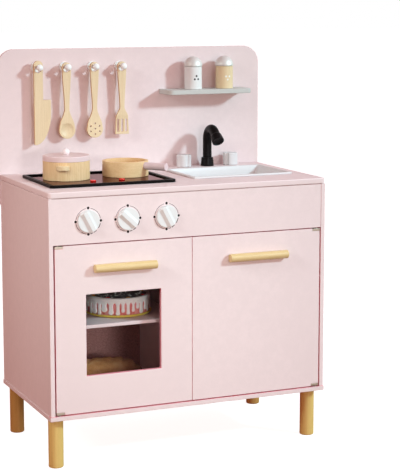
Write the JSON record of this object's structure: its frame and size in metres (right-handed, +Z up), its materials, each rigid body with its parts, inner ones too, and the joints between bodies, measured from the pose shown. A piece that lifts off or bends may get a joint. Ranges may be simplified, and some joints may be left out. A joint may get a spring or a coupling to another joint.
{
  "type": "toy kitchen",
  "caption": "Play kitchen of painted boards on round wooden legs, with hob, sink, swivel faucet, turning knobs, two hinged doors, hanging utensils and pots.",
  "frame": {"origin": "on the floor, under the middle of the whole toy", "axes": "+Z up, +X to the right as seen from the front, +Y to the back; the front with the knobs and doors faces -Y"},
  "size_m": [0.604, 0.3504, 0.815],
  "materials": {
    "painted_board": "satin pink paint on medium-density board",
    "hardboard": "painted thin board",
    "beech": "clear satin varnish",
    "grey_paint": "satin grey paint",
    "pink_wood": "satin pink paint on turned wood",
    "white_wood": "satin white paint on turned wood",
    "white_plastic": "moulded, satin gloss",
    "black_plastic": "moulded, satin",
    "hob_gloss": "high gloss",
    "red_plastic": "gloss",
    "clear_acrylic": "clear",
    "silver_paint": "satin silver",
    "steel": "zinc plated",
    "magnet_housing": "moulded",
    "cake_toy": "painted toy food",
    "loaf_toy": "painted toy food"
  },
  "bodies": {
    "cabinet": {"side_panel_left": "painted_board", "side_panel_right": "painted_board", "bottom_panel": "painted_board", "worktop": "painted_board", "back_panel": "hardboard", "centre_divider": "painted_board", "oven_shelf": "painted_board", "control_panel": "painted_board", "backboard": "painted_board", "leg_front_left": "beech", "leg_front_right": "beech", "leg_rear_left": "beech", "leg_rear_right": "beech", "leg_bolts": "steel", "carcass_screws": "steel", "backboard_screws": "steel", "wall_shelf": "grey_paint", "hook_pegs": "white_plastic", "hob_tray": "black_plastic", "hob_glass": "hob_gloss", "hob_indicator_studs": "red_plastic", "sink_basin": "white_plastic", "faucet_base": "black_plastic", "faucet_nut": "black_plastic", "knob_spindles": "steel", "hinge_bushes": "white_plastic", "magnet_catches": "magnet_housing"},
    "left_door": {"door_panel_left": "painted_board", "oven_window": "clear_acrylic", "door_handle_left": "beech", "door_screws_left": "steel", "hinge_plates_left": "steel", "strike_plate_left": "steel"},
    "right_door": {"door_panel_right": "painted_board", "door_handle_right": "beech", "door_screws_right": "steel", "hinge_plates_right": "steel", "strike_plate_right": "steel"},
    "faucet": {"faucet_spout": "black_plastic"},
    "left_tap": {"tap_knob_left": "white_plastic"},
    "right_tap": {"tap_knob_right": "white_plastic"},
    "knob_1": {"control_knob_1": "white_plastic"},
    "knob_2": {"control_knob_2": "white_plastic"},
    "knob_3": {"control_knob_3": "white_plastic"},
    "pot": {"pot_body": "beech", "pot_lugs": "beech"},
    "lid": {"pot_lid": "pink_wood", "pot_lid_knob": "pink_wood"},
    "pan": {"pan_body": "beech", "pan_handle": "pink_wood"},
    "knife": {"toy_knife": "beech"},
    "spoon": {"toy_spoon": "beech"},
    "skimmer": {"toy_skimmer": "beech"},
    "turner": {"toy_turner": "beech"},
    "left_shaker": {"shaker_left_body": "white_wood", "shaker_left_cap": "silver_paint"},
    "right_shaker": {"shaker_right_body": "beech", "shaker_right_cap": "silver_paint"},
    "cake": {"toy_cake": "cake_toy"},
    "loaf": {"toy_loaf": "loaf_toy"}
  },
  "joints": [
    {"name": "left_door_hinge", "type": "hinge", "parent": "cabinet", "child": "left_door", "pos_m": [-0.2821, -0.15425, 0.28], "axis": [0, 0, -1], "range_deg": [0, 110]},
    {"name": "right_door_hinge", "type": "hinge", "parent": "cabinet", "child": "right_door", "pos_m": [0.2821, -0.15425, 0.28], "axis": [0, 0, 1], "range_deg": [0, 110]},
    {"name": "faucet_swivel", "type": "hinge", "parent": "cabinet", "child": "faucet", "pos_m": [0.1645, 0.13775, 0.553], "axis": [0, 0, 1], "range_deg": [-90, 90]},
    {"name": "left_tap_turn", "type": "hinge", "parent": "cabinet", "child": "left_tap", "pos_m": [0.1085, 0.13775, 0.553], "axis": [0, 0, 1], "continuous": true},
    {"name": "right_tap_turn", "type": "hinge", "parent": "cabinet", "child": "right_tap", "pos_m": [0.2205, 0.13775, 0.553], "axis": [0, 0, 1], "continuous": true},
    {"name": "knob_1_turn", "type": "hinge", "parent": "cabinet", "child": "knob_1", "pos_m": [-0.2194, -0.15875, 0.494], "axis": [0, -1, 0], "continuous": true},
    {"name": "knob_2_turn", "type": "hinge", "parent": "cabinet", "child": "knob_2", "pos_m": [-0.1374, -0.15875, 0.494], "axis": [0, -1, 0], "continuous": true},
    {"name": "knob_3_turn", "type": "hinge", "parent": "cabinet", "child": "knob_3", "pos_m": [-0.0554, -0.15875, 0.494], "axis": [0, -1, 0], "continuous": true},
    {"name": "pot_lift", "type": "slide", "parent": "cabinet", "child": "pot", "axis": [0, 0, 1], "range_m": [0, 0.15]},
    {"name": "lid_lift", "type": "slide", "parent": "pot", "child": "lid", "axis": [0, 0, 1], "range_m": [0, 0.1]},
    {"name": "pan_lift", "type": "slide", "parent": "cabinet", "child": "pan", "axis": [0, 0, 1], "range_m": [0, 0.15]},
    {"name": "knife_swing", "type": "hinge", "parent": "cabinet", "child": "knife", "pos_m": [-0.2195, 0.14825, 0.7765], "axis": [0, 1, 0], "range_deg": [-5, 15]},
    {"name": "spoon_swing", "type": "hinge", "parent": "cabinet", "child": "spoon", "pos_m": [-0.157, 0.14825, 0.7765], "axis": [0, 1, 0], "range_deg": [-5, 5]},
    {"name": "skimmer_swing", "type": "hinge", "parent": "cabinet", "child": "skimmer", "pos_m": [-0.0945, 0.14825, 0.7765], "axis": [0, 1, 0], "range_deg": [-5, 5]},
    {"name": "turner_swing", "type": "hinge", "parent": "cabinet", "child": "turner", "pos_m": [-0.032, 0.14825, 0.7765], "axis": [0, 1, 0], "range_deg": [-15, 5]},
    {"name": "left_shaker_lift", "type": "slide", "parent": "cabinet", "child": "left_shaker", "axis": [0, 0, 1], "range_m": [0, 0.08]},
    {"name": "right_shaker_lift", "type": "slide", "parent": "cabinet", "child": "right_shaker", "axis": [0, 0, 1], "range_m": [0, 0.08]},
    {"name": "cake_lift", "type": "slide", "parent": "cabinet", "child": "cake", "axis": [0, 0, 1], "range_m": [0, 0.05]},
    {"name": "loaf_lift", "type": "slide", "parent": "cabinet", "child": "loaf", "axis": [0, 0, 1], "range_m": [0, 0.05]}
  ]
}
